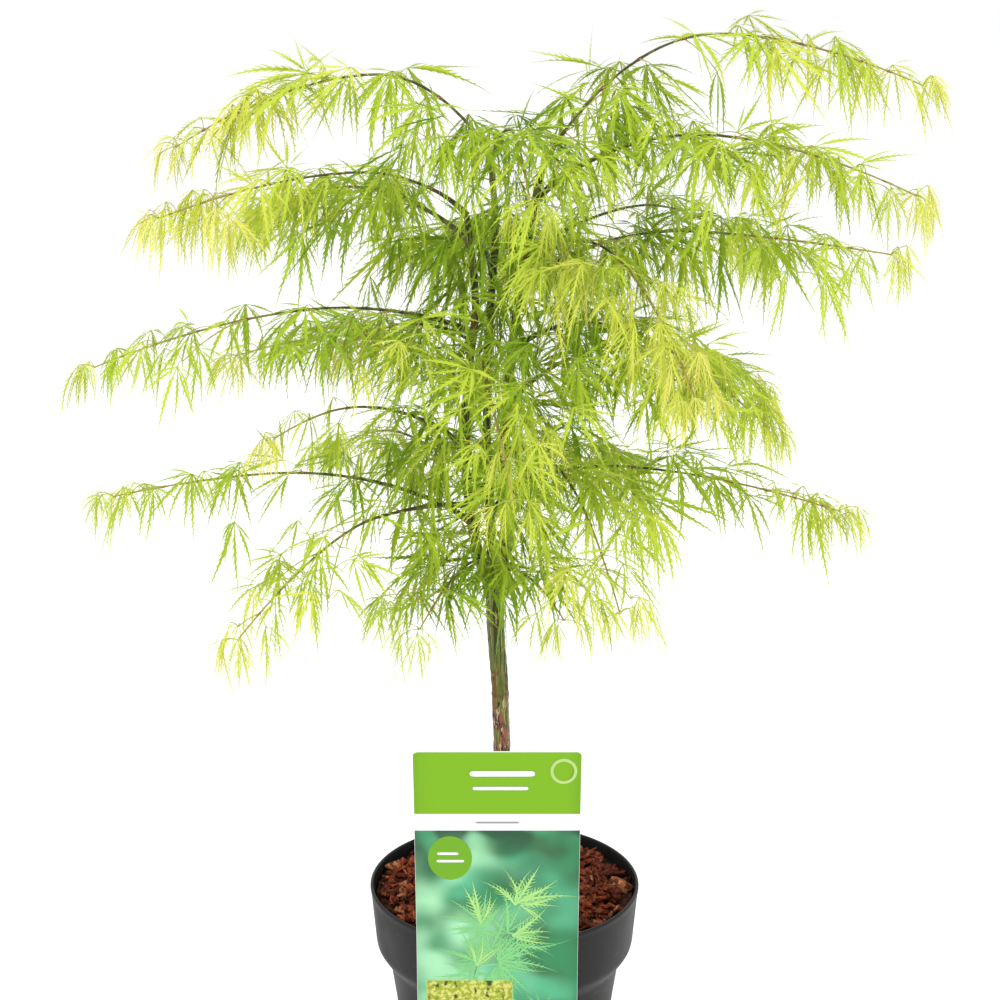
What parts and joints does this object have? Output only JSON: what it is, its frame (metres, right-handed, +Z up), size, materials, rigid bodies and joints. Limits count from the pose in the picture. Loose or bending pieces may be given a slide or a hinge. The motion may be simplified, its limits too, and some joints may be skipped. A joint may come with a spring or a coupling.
{
  "type": "potted weeping laceleaf maple",
  "caption": "Young weeping laceleaf maple with arching boughs and hanging feathery foliage, in a round dark nursery pot topped with bark and hung with a picture label.",
  "frame": {"origin": "centre of the pot's flat underside", "axes": "+Z up the trunk; -Y is the front, where the picture label hangs; +X is the right side seen from the front"},
  "size_m": [0.5766, 0.4412, 0.7581],
  "materials": {
    "pot_plastic": "satin",
    "bark_mulch": "rough",
    "label_card": "satin",
    "trunk_bark": "rough",
    "bough_bark": "satin",
    "leaf_deep": "satin",
    "leaf_mid": "satin",
    "leaf_fresh": "satin",
    "leaf_lime": "satin",
    "leaf_yellow": "satin"
  },
  "bodies": {
    "root": {"pot": "pot_plastic", "compost": "bark_mulch", "plant_label": "label_card", "trunk": "trunk_bark", "stem_left": "trunk_bark", "stem_right": "trunk_bark", "stem_middle": "trunk_bark", "bough_top_left": "bough_bark", "bough_upper_left": "bough_bark", "bough_mid_left": "bough_bark", "bough_inner_left": "bough_bark", "bough_low_left": "bough_bark", "bough_front_left": "bough_bark", "bough_top_right": "bough_bark", "bough_upper_right": "bough_bark", "bough_mid_right": "bough_bark", "bough_side_right": "bough_bark", "bough_front_right": "bough_bark", "bough_low_right": "bough_bark", "bough_low_front": "bough_bark", "bough_front": "bough_bark", "bough_back_top_left": "bough_bark", "bough_back_top_right": "bough_bark", "bough_back": "bough_bark", "bough_back_mid_left": "bough_bark", "bough_back_mid_right": "bough_bark", "bough_back_low_left": "bough_bark", "bough_back_low_right": "bough_bark", "foliage_top_left_inner": "leaf_mid", "foliage_top_left_outer": "leaf_lime", "foliage_upper_left_inner": "leaf_mid", "foliage_upper_left_outer": "leaf_lime", "foliage_mid_left_inner": "leaf_mid", "foliage_mid_left_outer": "leaf_lime", "foliage_inner_left": "leaf_deep", "foliage_low_left_inner": "leaf_mid", "foliage_low_left_outer": "leaf_yellow", "foliage_front_left": "leaf_yellow", "foliage_top_right_inner": "leaf_fresh", "foliage_top_right_outer": "leaf_lime", "foliage_upper_right_inner": "leaf_mid", "foliage_upper_right_outer": "leaf_lime", "foliage_mid_right_inner": "leaf_fresh", "foliage_mid_right_outer": "leaf_lime", "foliage_side_right": "leaf_fresh", "foliage_front_right": "leaf_yellow", "foliage_low_right": "leaf_fresh", "foliage_low_front": "leaf_fresh", "foliage_front": "leaf_yellow", "foliage_back_top_left": "leaf_mid", "foliage_back_top_right": "leaf_mid", "foliage_back": "leaf_deep", "foliage_back_mid_left": "leaf_deep", "foliage_back_mid_right": "leaf_deep", "foliage_back_low_left": "leaf_deep", "foliage_back_low_right": "leaf_deep", "foliage_crown_front": "leaf_fresh", "foliage_foot_left": "leaf_mid", "foliage_foot_right": "leaf_mid", "foliage_heart_left": "leaf_deep"}
  },
  "joints": []
}
